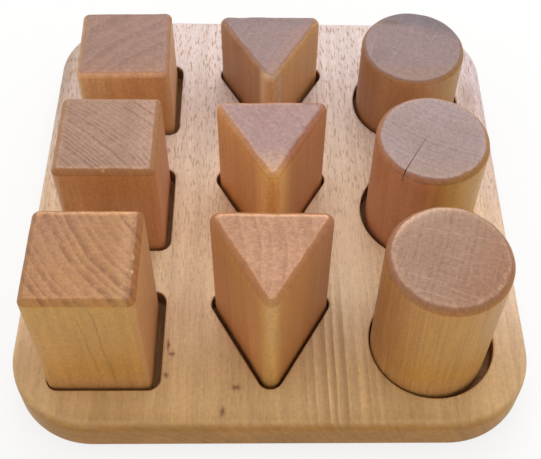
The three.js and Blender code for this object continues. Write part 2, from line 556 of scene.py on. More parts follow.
def edgeColour(tree, wood, patterns, colour):
    # eased edges cut the fibres aslant and soak up more oil
    own, across, blotch = patterns["own"], patterns["across"], patterns["blotch"]
    aslant = fade(tree, across, *wood["soakFrom"])
    aslant = calc(tree, "MULTIPLY", aslant, fadeOut(tree, across, *wood["soakTo"]))
    most = wood["edgeSoak"]
    soak = fade(tree, blotch, *wood["soakPatches"], wood["soakLeast"] * most, most)
    soak = calc(tree, "MULTIPLY", aslant, soak)
    colour = blendColour(tree, soak, colour, (*wood["soaked"], 1.0), "MULTIPLY")
    # towards one side the eased edges are lighter or darker: painted light and shade, partly more oil
    colour = tinted(tree, own, colour, wood["edgeLightAndSoak"], aslant)
    # the rim of the flat end is pale, more in some places than in others: partly wear, partly a painted
    # highlight where the arris catches the light
    rim = addNode(tree, "ShaderNodeAttribute", attribute_name="rim").outputs["Fac"]
    most = wood["wearAndGlint"]
    wearAndGlintMask = fade(tree, blotch, *wood["wearAndGlintPatches"], wood["wearAndGlintLeast"] * most, most)
    wearAndGlintMask = calc(tree, "MULTIPLY", rim, wearAndGlintMask)
    colour = blendColour(tree, wearAndGlintMask, colour, shade(wood["end"], wood["wearAndGlintTint"]))
    # towards one side the pale rim is lighter or darker: painted highlight and shade
    return tinted(tree, own, colour, wood["rimLightAndShade"], rim)


def beechMaterial(name, pieceWood):
    wood = {**beech, **pieceWood}
    material = bpy.data.materials.new(name)
    material.use_nodes = True
    tree = material.node_tree
    shader = tree.nodes["Principled BSDF"]
    patterns = grainPatterns(tree, wood)
    own, pores = patterns["own"], patterns["pores"]

    # an end is where the fibres are cut across, with a frayed border
    border = calc(tree, "SUBTRACT", patterns["across"], 0.5 * wood["fray"])
    border = calc(tree, "MULTIPLY_ADD", patterns["blotch"], wood["fray"], border)
    isEnd = fade(tree, border, *wood["endFrom"])
    colour = blendColour(tree, isEnd, sideColour(tree, wood, patterns), endColour(tree, wood, patterns))
    colour = edgeColour(tree, wood, patterns, colour)
    colour = toned(tree, colour, pores, wood["poreTone"])
    colour = toned(tree, colour, patterns["mottle"], wood["mottle"])
    colour = tinted(tree, own, colour, wood["tints"])
    for line in wood["lines"]:
        colour = blendColour(tree, lineMask(tree, own, line), colour, line["colour"])
    for spot in wood["spots"]:
        colour = blendColour(tree, spotMask(tree, own, spot), colour, spot["colour"])
    feed(tree, shader.inputs["Base Color"], colour)

    # satin oil: ends and pores are duller
    dull = wood["dullPores"]
    gloss = calc(tree, "MULTIPLY_ADD", pores, dull, wood["roughness"] - 0.5 * dull)
    feed(tree, shader.inputs["Roughness"], calc(tree, "MULTIPLY_ADD", isEnd, wood["dullEnds"], gloss))
    shader.inputs["Specular IOR Level"].default_value = wood["shine"]
    height = calc(tree, "SUBTRACT", pores, calc(tree, "MULTIPLY", patterns["rays"], wood["rayDip"]))
    height = calc(tree, "SUBTRACT", height, calc(tree, "MULTIPLY", patterns["late"], wood["lateDip"]))
    relief = {"Strength": wood["bumpStrength"], "Distance": wood["grainBump"], "Height": height}
    bump = addNode(tree, "ShaderNodeBump", relief)
    feed(tree, shader.inputs["Normal"], bump.outputs["Normal"])
    return material


# Directions in which a colour changes
toRight = (1.0, 0.0, 0.0)
toLeft = (-1.0, 0.0, 0.0)
toBack = (0.0, 1.0, 0.0)
toFront = (0.0, -1.0, 0.0)
toTop = (0.0, 0.0, 1.0)
toFoot = (0.0, 0.0, -1.0)


# Board

boardMake = {
    "cornerRadius": 33.0,
    "topRound": 3.5,
    "topSteps": 9,
    "bottomRound": 2.0,
    "bottomSteps": 6,
    "roundWander": 0.12,  # hand sanding lets the top round vary by this share
    "wanderLength": 14.0,
    "wanderSeed": 3.7,
    "rimRound": 0.7,
    "rimSteps": 4,
    "pocketCornerRadius": {"square": 4.6, "triangle": 5.0},
    "floorFillet": 0.6,
    "filletSteps": 3,
    "spacing": 1.2,
    "rimSpacing": 0.6,
    "support": 0.5,  # flat band beside a rounded edge
    "samePoint": 1e-5,  # points of the top closer than this count as one
}

boardTimber = {
    "fibres": "y",
    "ringTurn": -26.6,
    "pithDistance": 78.0,
    "slope": 1.2,
    "ringWidth": 3.4,
    "rayShare": 0.6,
}

knot = {"ragged": 0.9, "strength": 0.9, "colour": srgb(128, 74, 40)}

boardWood = {
    **boardTimber,
    "fleckWidth": 0.65,
    "fleckLength": 3.8,
    "late": (0.15, 0.75),
    "sideLine": (0.66, 0.61, 0.57),
    "endFrom": (0.2, 0.95),
    "fray": 0.5,
    "side": srgb(205, 165, 112),
    "toneAndLight": [
        # lighter from the front strip into the middle between the rows of blocks, and paler and pinker
        # towards the back: painted light and the painted sheen of the back light, on the board's own tone
        {"toward": toBack, "between": (-92.0, -45.0), "colour": srgb(242, 209, 168)},
        {"toward": toBack, "between": (-40.0, 85.0), "colour": srgb(220, 201, 196)},
    ],
    "tints": [
        # darker towards the margins and the front edge: painted shade on the rounded edges, and at the
        # back left the painted shadow of the block beside it
        {"toward": toRight, "between": (84.0, 99.0), "tint": (0.88, 0.86, 0.94)},
        {"toward": toLeft, "between": (82.0, 98.0), "tint": (0.89, 0.86, 0.84)},
        {"toward": (-1.0, 0.35, 0.0), "between": (105.0, 122.0), "tint": (0.75, 0.7, 0.62)},
        {"toward": toFront, "between": (99.0, 105.5), "tint": (0.9, 0.85, 0.76)},
    ],
    "sideRings": 0.14,
    "stripes": {
        "at": (26.0, -85.0, 16.0),
        "reach": (22.0, 60.0, 30.0),
        "ragged": 3.0,
        "strength": 1.0,
        "early": (1.25, 1.28, 1.32),
    },
    "flecks": 0.7,
    "fleckFade": {"toward": toBack, "between": (-90.0, 90.0), "from": 0.2},
    "streaks": 0.08,
    "fibreTone": 0.03,
    "end": srgb(166, 118, 45),
    # paler towards the back: partly the painted sheen of the back light
    "endToneAndLight": [{"toward": toBack, "between": (-90.0, 60.0), "colour": srgb(180, 146, 118)}],
    "endRings": 0.4,
    "endRays": 0.0,
    "endMottle": 0.1,
    "edgeSoak": 0.0,
    "wearAndGlint": 0.0,
    "poreTone": 0.05,
    "mottle": 0.07,
    "roughness": 0.5,
    "shine": 0.5,
    "spots": [
        # a pale patch, two dark ones and five small knots
        {
            "at": (33.0, -30.0, 16.0),
            "reach": (13.0, 50.0, 10.0),
            "ragged": 3.0,
            "strength": 0.4,
            "colour": srgb(250, 224, 192),
        },
        {
            "at": (-34.0, -54.0, 16.0),
            "reach": (11.0, 20.0, 10.0),
            "ragged": 3.0,
            "strength": 0.3,
            "colour": srgb(186, 134, 88),
        },
        {
            "at": (92.0, 57.0, 16.0),
            "reach": (7.0, 17.0, 10.0),
            "ragged": 4.0,
            "strength": 0.6,
            "colour": srgb(166, 136, 120),
        },
        {**knot, "at": (-40.1, -74.0, 16.0), "reach": (1.0, 3.8, 3.0)},
        {**knot, "at": (-38.6, -77.5, 16.0), "reach": (1.9, 1.5, 3.0), "strength": 0.85},
        {**knot, "at": (-40.0, -86.7, 16.0), "reach": (1.5, 1.9, 3.0)},
        {**knot, "at": (-13.7, -91.8, 16.0), "reach": (2.8, 1.8, 3.0), "ragged": 1.0, "strength": 0.85},
        {**knot, "at": (-18.3, -101.5, 16.0), "reach": (1.5, 3.2, 3.0), "ragged": 1.0, "strength": 0.85},
    ],
}

# the walls and the floors of the pockets, darker than the board: painted shade of the narrow pockets, on
# top of the routed wood's own tone
routedShadedWood = {
    **boardTimber,
    "late": (0.45, 0.9),
    "endFrom": (0.7, 0.97),
    "fray": 0.1,
    "side": srgb(136, 89, 57),
    "toneAndLight": [{"toward": toFoot, "between": (-9.5, -8.0), "colour": srgb(165, 119, 75)}],  # the floors
    "sideRings": 0.3,
    "flecks": 0.3,
    "streaks": 0.05,
    "fibreTone": 0.05,
    "end": srgb(122, 84, 54),
    "endRings": 0.3,
    "endRays": 0.1,
    "endMottle": 0.0,
    "edgeSoak": 0.3,
    "wearAndGlint": 0.0,
    "poreTone": 0.08,
    "mottle": 0.06,
    "roughness": 0.6,
    "shine": 0.25,
}


def wander(outline, share, length, seed):
    # how hand sanding varies a round along an edge
    points, _ = outline
    return np.array([1 + share * noise.noise(Vector((x / length, y / length, seed))) for x, y in points])


def boardMesh():
    make = boardMake
    low, high = (np.array(corner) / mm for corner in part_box("board"))
    width, depth = high[0] - low[0], high[1] - low[1]
    x = width / 2 - make["cornerRadius"]
    y = depth / 2 - make["cornerRadius"]
    centres = [(-x, -y), (x, -y), (x, y), (-x, y)]
    outline = traceOutline(centres, make["cornerRadius"], make["spacing"])
    sanding = wander(outline, make["roundWander"], make["wanderLength"], make["wanderSeed"])
    topRound = make["topRound"] * sanding
    rings = [ringAt(outline, make["bottomRound"] + make["support"], low[2])]
    rings += quarterRound(outline, make["bottomRound"], low[2], make["bottomSteps"], rising=False)
    rings += quarterRound(outline, topRound, high[2], make["topSteps"], rising=True)
    rings += [ringAt(outline, topRound.max() + make["support"], high[2])]
    bm = bmesh.new()
    rows = addRings(bm, rings)
    bm.faces.new(rows[0][::-1])
    rims = [rows[-1]]
    for node, pocket in pockets.items():
        rims.append(addPocket(bm, blocks[node]["shape"], pocket, high[2]))
    fillTop(bm, rims)
    return bm


def fillTop(bm, rims):
    # the flat top between the outer rim and the pockets; a triangle inside a pocket has one owner
    verts = [vert for rim in rims for vert in rim]
    owner = [i for i, rim in enumerate(rims) for _ in rim]
    edges = []
    for rim in rims:
        start = len(edges)
        edges += [(start + k, start + (k + 1) % len(rim)) for k in range(len(rim))]
    flat = [vert.co.to_2d() for vert in verts]
    _, _, faces, origins, _, _ = delaunay_2d_cdt(flat, edges, [], 1, boardMake["samePoint"])
    for face in faces:
        corners = [origins[k][0] for k in face]
        owners = {owner[k] for k in corners}
        if len(owners) > 1 or owners == {0}:
            bm.faces.new([verts[k] for k in corners])


def addPocket(bm, shape, pocket, top):
    make = boardMake
    radius = pocket["half"] if shape == "cylinder" else make["pocketCornerRadius"][shape]
    centres = outlineCentres(shape, pocket["half"], radius)
    points, outward = traceOutline(centres, radius, make["rimSpacing"])
    points += pocket["middle"]
    wall = (points, outward)
    mouth = (points, -outward)  # the rim is rounded away from the pocket
    rim, fillet = make["rimRound"], make["floorFillet"]
    lips = quarterRound(mouth, rim, top, make["rimSteps"], rising=True)
    lips += [ringAt(mouth, rim + make["support"], top)]
    rows = addRings(bm, lips[::-1])
    depths = quarterRound(wall, fillet, pocket["floor"], make["filletSteps"], rising=False)
    depths += [ringAt(wall, 0.0, top - rim)]
    well = addRings(bm, depths[::-1], slot=1)
    floor = bm.faces.new(well[-1])
    floor.material_index = 1
    bmesh.ops.weld_verts(bm, targetmap=dict(zip(well[0], rows[-1])))
    return rows[0]


def makeBoard():
    materials = [beechMaterial("board_beech", boardWood), beechMaterial("routed_beech_shaded", routedShadedWood)]
    piece = addPiece("puzzle_board", boardMesh(), Matrix.Identity(4), materials)
    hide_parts("board")
    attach(piece, "board")


# Blocks

blockMake = {
    "edgeRadius": {"square": 2.8, "triangle": 3.6},  # of the upright edges
    "edgeSteps": 10,  # loops across an eased edge
    "cornerPull": 0.45,  # how near to the sharp corner a round comes
    "wander": 0.16,  # hand sanding varies the upper edges by this share
    "wanderLength": 6.0,
    "wanderRoom": 1.2,  # the plain wall ends below an upper edge that drops this much more
    "leastFlat": 0.05,  # radius that an upright edge keeps at the flat end
    "spacing": 0.8,
    "wallSteps": 10,
    "support": 0.3,  # flat band beside an eased edge
    "crown": 0.08,  # the sanded top stands this much higher in the middle
    "topLoops": (0.92, 0.8, 0.55, 0.3, 0.1),  # shares of the flat end's size
    "rimNearness": (0.25, 0.6, 1.0, 1.0),  # of the loops up to the flat end's rim
    "nickSlant": 0.7,  # how far a nick goes in and down, as a share of its depth
    "seedStep": 10.0,
}

blockWood = {
    "fibres": "z",
    "slope": 1.6,
    "late": (0.2, 0.8),  # where in a ring the darker late wood begins and is darkest
    "rayShare": 0.6,
    "sideRings": 0.16,
    "flecks": 0.06,
    "streaks": 0.05,
    "fibreTone": 0.04,
    "endRays": 0.15,
    "endMottle": 0.05,
    "endFrom": (0.6, 0.9),
    "fray": 0.15,
    "edgeSoak": 1.0,
    "wearAndGlint": 0.8,
    "poreTone": 0.05,
    "mottle": 0.1,
    "roughness": 0.46,
    "shine": 0.5,
}

paleNick = {"ragged": 0.9, "strength": 0.8, "colour": srgb(214, 172, 134)}

# up the front of the tall square block
darkLine = {
    "sway": 3.0,
    "width": 0.6,
    "taper": 8.0,
    "face": (-18.5, -17.5),
    "colour": srgb(138, 92, 46),
}

# "edge" is the eased upper and lower edge: how far in and down it goes and how round it is.
# Towards one side of a block the lists change the colour of its sides, of its ends, of its eased edges
# and of the pale rim of its top:
# partly the wood's own tone, partly painted light and shade, lighter where a face turns to the lamps,
# darker where it turns away, with painted highlights on the rims at the back. The greyer, pinker ends of
# the back rows hold part of a painted sheen.
blockLooks = {
    "square_block_tall": {
        "edge": {"inset": 2.2, "drop": 2.3, "wallRound": 0.1, "endRound": 0.2},
        "side": srgb(182, 128, 54),
        "end": srgb(176, 124, 78),
        "ringTurn": 216.0,
        "pithDistance": 104.0,
        "ringWidth": 3.4,
        "endRings": 0.95,
        "endRays": 0.06,
        "endFrom": (0.35, 0.75),
        "endMottle": 0.07,
        "soaked": (0.83, 0.75, 0.6),
        "wearAndGlint": 0.5,
        "wearAndGlintTint": (1.2, 1.25, 1.22),
        "toneAndLight": [
            {"toward": toBack, "between": (0.0, 19.0), "colour": srgb(178, 128, 82)},
            {"toward": toTop, "between": (28.0, 62.0), "colour": srgb(186, 135, 56)},
            {"toward": toFoot, "between": (-24.0, -10.0), "colour": srgb(186, 134, 76)},
            {"toward": toRight, "between": (17.0, 19.4), "colour": srgb(194, 141, 89)},
        ],
        "endToneAndLight": [
            {"toward": (-0.8, 0.6, 0.0), "between": (-4.0, 26.0), "colour": srgb(165, 115, 83)},
            {"toward": toRight, "between": (9.0, 16.0), "colour": srgb(190, 139, 95)},
            {"toward": toRight, "between": (15.0, 17.2), "colour": srgb(172, 122, 84)},
        ],
        "edgeLightAndSoak": [
            {"toward": toFront, "between": (16.5, 18.0), "tint": (1.08, 1.1, 0.82)},
            {"toward": toRight, "between": (16.0, 17.5), "tint": (0.89, 0.75, 0.5)},
        ],
        "rimLightAndShade": [
            {"toward": toBack, "between": (14.5, 17.0), "tint": (1.45, 1.55, 1.75)},
            {"toward": toRight, "between": (15.5, 17.5), "tint": (0.86, 0.8, 0.78)},
        ],
        "nicks": [
            {"at": (19.0, -1.0), "reach": 1.2, "depth": 0.5},
            {"at": (19.0, -7.0), "reach": 1.0, "depth": 0.4},
        ],
        "lines": [
            {
                **darkLine,
                "at": 6.0,
                "lean": -0.055,
                "wave": 16.0,
                "start": 3.2,
                "between": (8.0, 68.0),
                "strength": 0.52,
            },
            {
                **darkLine,
                "at": 1.6,
                "lean": -0.07,
                "wave": 18.0,
                "start": 9.1,
                "between": (14.0, 64.0),
                "strength": 0.4,
            },
        ],
        "spots": [
            {**paleNick, "at": (17.6, -1.0, 68.6), "reach": (1.0, 1.6, 1.4)},
            {**paleNick, "at": (17.6, -7.0, 68.6), "reach": (0.9, 1.3, 1.4)},
        ],
    },
    "square_block_middle": {
        "edge": {"inset": 2.2, "drop": 2.2, "wallRound": 0.3, "endRound": 0.1},
        "side": srgb(199, 139, 86),
        "end": srgb(162, 124, 102),
        "ringTurn": 50.0,
        "pithDistance": 150.0,
        "ringWidth": 1.6,
        "late": (0.1, 0.7),
        "endRings": 0.85,
        "endRays": 0.08,
        "endFrom": (0.75, 0.95),
        "soaked": (0.65, 0.68, 0.74),
        "wearAndGlint": 0.6,
        "toneAndLight": [
            {"toward": toLeft, "between": (10.0, 18.0), "colour": srgb(190, 131, 75)},
            {"toward": toRight, "between": (-8.0, 6.0), "colour": srgb(202, 145, 100)},
            {"toward": toRight, "between": (10.0, 17.0), "colour": srgb(197, 134, 88)},
            {"toward": toTop, "between": (34.0, 50.0), "colour": srgb(190, 130, 75)},
        ],
        "endToneAndLight": [{"toward": toRight, "between": (7.0, 15.0), "colour": srgb(179, 139, 116)}],
        "edgeLightAndSoak": [{"toward": toFront, "between": (16.5, 18.0), "tint": (0.97, 0.77, 0.46)}],
        "rimLightAndShade": [{"toward": toFront, "between": (14.5, 17.0), "tint": (1.12, 1.1, 1.08)}],
        "nicks": [{"at": (0.0, -19.2), "reach": 0.9, "depth": 0.4}],
        "spots": [{**paleNick, "at": (0.0, -18.6, 57.4), "reach": (1.0, 1.2, 1.2), "ragged": 0.8}],
    },
    "square_block_short": {
        "edge": {"inset": 2.0, "drop": 2.0, "wallRound": 0.6, "endRound": 0.4},
        "side": srgb(200, 150, 98),
        "end": srgb(149, 112, 96),
        "ringTurn": 129.0,
        "pithDistance": 110.0,
        "ringWidth": 6.5,
        "endRings": 0.45,
        "endRays": 0.08,
        "endFrom": (0.78, 0.97),
        "soaked": (0.74, 0.68, 0.78),
        "wearAndGlint": 0.4,
        "endToneAndLight": [{"toward": toFront, "between": (6.0, 18.0), "colour": srgb(160, 116, 93)}],
        "edgeLightAndSoak": [
            {"toward": toFront, "between": (16.5, 18.0), "tint": (1.4, 1.45, 1.45)},
            {"toward": toRight, "between": (16.5, 18.0), "tint": (0.8, 0.74, 0.8)},
        ],
        "rimLightAndShade": [
            {"toward": toBack, "between": (15.0, 17.5), "tint": (0.82, 0.88, 0.98)},
            {"toward": toFront, "between": (14.5, 17.0), "tint": (1.12, 1.08, 1.05)},
        ],
    },
    "triangle_block_tall": {
        "edge": {"inset": 2.5, "drop": 3.0, "wallRound": 0.9, "endRound": 0.3},
        "side": srgb(196, 133, 76),
        "end": srgb(187, 136, 102),
        "ringTurn": 8.0,
        "pithDistance": 80.0,
        "ringWidth": 5.0,
        "endRings": 0.45,
        "endFrom": (0.85, 0.98),
        "endMottle": 0.09,
        "soaked": (0.76, 0.67, 0.61),
        "soakFrom": (0.05, 0.75),
        "wearAndGlint": 0.35,
        "wearAndGlintTint": (1.2, 1.15, 1.0),
        "toneAndLight": [
            {"toward": toLeft, "between": (8.0, 20.0), "colour": srgb(200, 137, 85)},
            {"toward": toTop, "between": (25.0, 60.0), "colour": srgb(188, 126, 71)},
            {"toward": toRight, "between": (-1.0, 1.0), "colour": srgb(186, 125, 68)},
            {"toward": toRight, "between": (9.0, 20.0), "colour": srgb(180, 123, 79)},
            {"toward": toFront, "between": (19.5, 24.5), "colour": srgb(193, 142, 75)},
        ],
        "edgeLightAndSoak": [{"toward": toFront, "between": (17.0, 22.0), "tint": (0.98, 0.97, 0.92)}],
        "rimLightAndShade": [{"toward": toBack, "between": (9.0, 11.5), "tint": (1.5, 1.65, 1.85)}],
    },
    "triangle_block_middle": {
        "edge": {"inset": 2.3, "drop": 3.0, "wallRound": 0.9, "endRound": 0.1},
        "side": srgb(212, 147, 86),
        "end": srgb(164, 128, 121),
        "ringTurn": 40.0,
        "pithDistance": 90.0,
        "ringWidth": 4.0,
        "endRings": 0.3,
        "endFrom": (0.72, 0.95),
        "endMottle": 0.07,
        "soaked": (0.76, 0.7, 0.68),
        "wearAndGlint": 0.9,
        "wearAndGlintTint": (1.45, 1.33, 1.05),
        "toneAndLight": [
            {"toward": toLeft, "between": (4.0, 16.0), "colour": srgb(222, 159, 95)},
            {"toward": toRight, "between": (-1.0, 3.0), "colour": srgb(195, 133, 83)},
            {"toward": toFront, "between": (13.0, 24.5), "colour": srgb(244, 191, 115)},
        ],
        "endToneAndLight": [{"toward": toFront, "between": (9.0, 19.0), "colour": srgb(190, 150, 126)}],
        "edgeLightAndSoak": [
            {"toward": toRight, "between": (2.0, 8.0), "tint": (0.87, 0.72, 0.7)},
            {"toward": toFront, "between": (14.0, 22.0), "tint": (0.95, 0.87, 0.73)},
        ],
        "rimLightAndShade": [
            {"toward": (1.0, -0.3, 0.0), "between": (7.0, 11.0), "tint": (0.72, 0.62, 0.58)},
            {"toward": toFront, "between": (13.0, 20.0), "tint": (1.2, 1.2, 1.0)},
        ],
    },
    "triangle_block_short": {
        "edge": {"inset": 2.3, "drop": 3.0, "wallRound": 0.9, "endRound": 0.4},
        "side": srgb(169, 120, 81),
        "end": srgb(145, 117, 112),
        "ringTurn": 150.0,
        "pithDistance": 90.0,
        "ringWidth": 4.0,
        "endRings": 0.25,
        "endFrom": (0.72, 0.95),
        "soaked": (0.78, 0.74, 0.7),
        "wearAndGlint": 0.6,
        "wearAndGlintTint": (1.3, 1.15, 1.0),
        "toneAndLight": [
            {"toward": toRight, "between": (-4.0, 4.0), "colour": srgb(212, 160, 100)},
            {"toward": toFront, "between": (18.5, 22.5), "colour": srgb(210, 174, 130)},
        ],
        "endToneAndLight": [
            {"toward": (0.87, -0.5, 0.0), "between": (3.0, 11.0), "colour": srgb(157, 120, 110)},
            {"toward": toBack, "between": (2.0, 12.0), "colour": srgb(135, 110, 107)},
        ],
        "edgeLightAndSoak": [{"toward": (-0.87, -0.5, 0.0), "between": (9.0, 12.5), "tint": (1.18, 1.2, 1.35)}],
        "rimLightAndShade": [{"toward": toBack, "between": (9.5, 12.0), "tint": (0.84, 0.92, 1.0)}],
    },
    "cylinder_block_tall": {
        "edge": {"inset": 2.3, "drop": 2.5, "wallRound": 0.3, "endRound": 0.3},
        "side": srgb(168, 116, 62),
        "end": srgb(159, 121, 96),
        "ringTurn": -17.0,
        "pithDistance": 130.0,
        "ringWidth": 2.4,
        "rayShare": 0.67,
        "rayLength": 30.0,
        "endRings": 0.45,
        "endRays": 0.5,
        "endFrom": (0.5, 0.9),
        "endMottle": 0.08,
        "fibreTone": 0.12,
        "soaked": (0.76, 0.62, 0.54),
        "wearAndGlintTint": (1.4, 1.38, 1.3),
        "toneAndLight": [
            {"toward": (0.7, -0.7, 0.0), "between": (-6.0, 14.0), "colour": srgb(178, 125, 44)},
            {"toward": toFoot, "between": (-24.0, -10.0), "colour": srgb(183, 132, 74)},
            {"toward": toBack, "between": (0.0, 18.0), "colour": srgb(176, 126, 82)},
        ],
        "endToneAndLight": [
            {"toward": (0.8, -0.5, 0.0), "between": (-2.0, 20.0), "colour": srgb(156, 106, 77)},
            {"toward": (-0.4, 0.9, 0.0), "between": (12.0, 22.0), "colour": srgb(180, 145, 122)},
        ],
        "rimLightAndShade": [{"toward": (-0.4, 0.9, 0.0), "between": (10.0, 18.0), "tint": (1.4, 1.48, 1.55)}],
        "scratches": [
            {"from": (-13.5, 12.8), "to": (18.5, 5.9), "strength": 1.0},
            {"from": (-19.6, -5.0), "to": (1.0, -12.6), "strength": 0.9},
            {"from": (-17.4, -11.5), "to": (0.0, -17.8), "strength": 1.0},
            {"from": (-13.5, -2.3), "to": (-5.0, -4.8), "strength": 0.7},
            {"from": (-9.6, 4.5), "to": (-12.8, -4.5), "strength": 0.6},
        ],
    },
    "cylinder_block_middle": {
        "edge": {"inset": 2.2, "drop": 2.7, "wallRound": 0.8, "endRound": 0.2},
        "side": srgb(193, 132, 91),
        "end": srgb(159, 133, 129),
        "ringTurn": -120.0,
        "pithDistance": 60.0,
        "ringWidth": 1.5,
        "endRings": 0.5,
        "endFrom": (0.75, 0.95),
        "soaked": (0.64, 0.54, 0.47),
        "wearAndGlintTint": (1.3, 1.2, 1.1),
        "toneAndLight": [
            {"toward": toTop, "between": (36.0, 54.0), "colour": srgb(186, 123, 83)},
            {"toward": (0.9, -0.4, 0.0), "between": (2.0, 16.0), "colour": srgb(182, 131, 42)},
            {"toward": toBack, "between": (0.0, 18.0), "colour": srgb(180, 128, 90)},
        ],
        "endToneAndLight": [
            {"toward": (0.4, 0.9, 0.0), "between": (4.0, 18.0), "colour": srgb(165, 140, 136)},
            {"toward": toFront, "between": (8.0, 18.0), "colour": srgb(162, 134, 119)},
        ],
        "edgeLightAndSoak": [{"toward": toLeft, "between": (14.0, 19.0), "tint": (1.12, 1.2, 1.1)}],
        "crack": {
            "turn": -120.0,
            "offset": -2.35,  # it passes the middle on one side
            "start": 0.8,
            "overrun": 1.0,  # how far its cutter stands out of the block
            "steps": 14,
            "tip": 0.05,  # half its width where it starts
            "width": 0.28,  # this much more where it comes out
            "widening": 0.6,  # it opens up early
            "shallow": 0.4,
            "depth": 7.0,  # where it comes out
            "deepening": 4,  # it goes down late
            "shoulder": (0.6, 0.7),  # the shares of its width and depth at which it narrows to an edge
            "stray": 0.12,
            "strayWaves": 4.0,
            "straySeed": 1.3,
            "crisp": 60.0,  # edges that turn more than this stay sharp
            # darker than the side: painted shade deep in the crack, partly the split wood's own tone
            "inside": srgb(140, 104, 82),
        },
    },
    "cylinder_block_short": {
        "edge": {"inset": 1.9, "drop": 2.4, "wallRound": 0.8, "endRound": 0.4},
        "side": srgb(168, 118, 77),
        "end": srgb(138, 112, 108),
        "ringTurn": 65.0,
        "pithDistance": 110.0,
        "ringWidth": 4.0,
        "endRings": 0.25,
        "endRays": 0.5,
        "endFrom": (0.6, 0.97),
        "soaked": (0.81, 0.71, 0.5),
        "wearAndGlint": 0.6,
        "wearAndGlintTint": (1.25, 1.15, 1.05),
        "toneAndLight": [
            {"toward": (-0.85, -0.5, 0.0), "between": (8.0, 20.0), "colour": srgb(160, 110, 68)},
            {"toward": toFront, "between": (12.0, 21.0), "colour": srgb(181, 130, 86)},
            {"toward": toRight, "between": (4.0, 16.0), "colour": srgb(163, 115, 42)},
        ],
        "endToneAndLight": [{"toward": toFront, "between": (6.0, 19.0), "colour": srgb(150, 116, 102)}],
        "edgeLightAndSoak": [
            {"toward": toLeft, "between": (14.0, 20.0), "tint": (1.0, 1.03, 1.4)},
            {"toward": (0.9, 0.4, 0.0), "between": (16.0, 21.0), "tint": (0.95, 1.05, 1.5)},
        ],
        "tints": [{"toward": (0.3, 0.95, 0.0), "between": (8.0, 17.0), "tint": (0.62, 0.7, 0.8)}],
        "spots": [
            {
                "at": (-8.0, 15.0, 45.0),
                "reach": (9.0, 2.6, 3.0),
                "ragged": 2.2,
                "strength": 0.55,
                "colour": srgb(92, 72, 62),
            },
        ],
    },
}


def easedEdge(outline, edge, sanding, z, rising):
    # from the wall in to the flat end or back out: a chamfer bent towards a round on either side
    pull, support = blockMake["cornerPull"], blockMake["support"]
    wall = np.array((0.0, edge["drop"]))
    flat = np.array((edge["inset"], 0.0))
    nearWall = (2 * wall + flat) / 3
    nearWall += edge["wallRound"] * (pull * wall - nearWall)
    nearFlat = (wall + 2 * flat) / 3
    nearFlat += edge["endRound"] * (pull * flat - nearFlat)
    up = -1.0 if rising else 1.0
    loops = [ringAt(outline, 0.0, z + up * (edge["drop"] * sanding + support))]
    for t in np.linspace(0.0, 1.0, blockMake["edgeSteps"]):
        u = 1 - t
        inset, drop = u**3 * wall + 3 * t * u * u * nearWall + 3 * t * t * u * nearFlat + t**3 * flat
        loops.append(ringAt(outline, inset * sanding, z + up * drop * sanding))
    loops.append(ringAt(outline, edge["inset"] * sanding + support, z))
    return loops if rising else loops[::-1]


def carveNicks(ring, nicks, height, edge):
    # small dents that knocks have left along the upper edge
    for nick in nicks:
        away = ring[:, :2] - np.array(nick["at"])
        near = np.exp(-np.sum(away**2, axis=1) / nick["reach"] ** 2)
        near *= np.exp(-(((ring[:, 2] - height + edge / 2) / edge) ** 2)) * nick["depth"]
        near *= blockMake["nickSlant"]
        inward = -np.array(nick["at"]) / np.linalg.norm(nick["at"])
        ring[:, :2] += near[:, None] * inward
        ring[:, 2] -= near


def blockMesh(block, look, seed):
    make = blockMake
    shape, half = block["shape"], block["half"]
    radius = half if shape == "cylinder" else make["edgeRadius"][shape]
    outline = traceOutline(outlineCentres(shape, half, radius), radius, make["spacing"])
    height = block["high"] - block["low"]
    crown, support = make["crown"], make["support"]
    edge = look["edge"]
    sanding = wander(outline, make["wander"], make["wanderLength"], seed)
    sanding = np.minimum(sanding, (radius - support - make["leastFlat"]) / edge["inset"])
    rings = easedEdge(outline, edge, 1.0, 0.0, rising=False)
    foot = edge["drop"] + support
    head = height - crown - make["wanderRoom"] * edge["drop"] - support
    for k in range(1, make["wallSteps"]):
        rings.append(ringAt(outline, 0.0, foot + (head - foot) * k / make["wallSteps"]))
    rings += easedEdge(outline, edge, sanding, height - crown, rising=True)
    for ring in rings:
        carveNicks(ring, look.get("nicks", ()), height, edge["drop"])
    flat = rings[-1]
    top = len(rings)
    for share in make["topLoops"]:
        ring = flat * (share, share, 1.0)
        ring[:, 2] = height - crown * share**2
        rings.append(ring)
    bm = bmesh.new()
    wearAndGlint = bm.verts.layers.float.new("rim")
    rows = addRings(bm, rings)
    # how near a point is to the rim of the flat end
    for row, near in zip(rows[top - len(make["rimNearness"]) : top], make["rimNearness"]):
        for vert in row:
            vert[wearAndGlint] = near
    bm.faces.new(rows[0][::-1])
    bm.faces.new(rows[-1])
    return bm


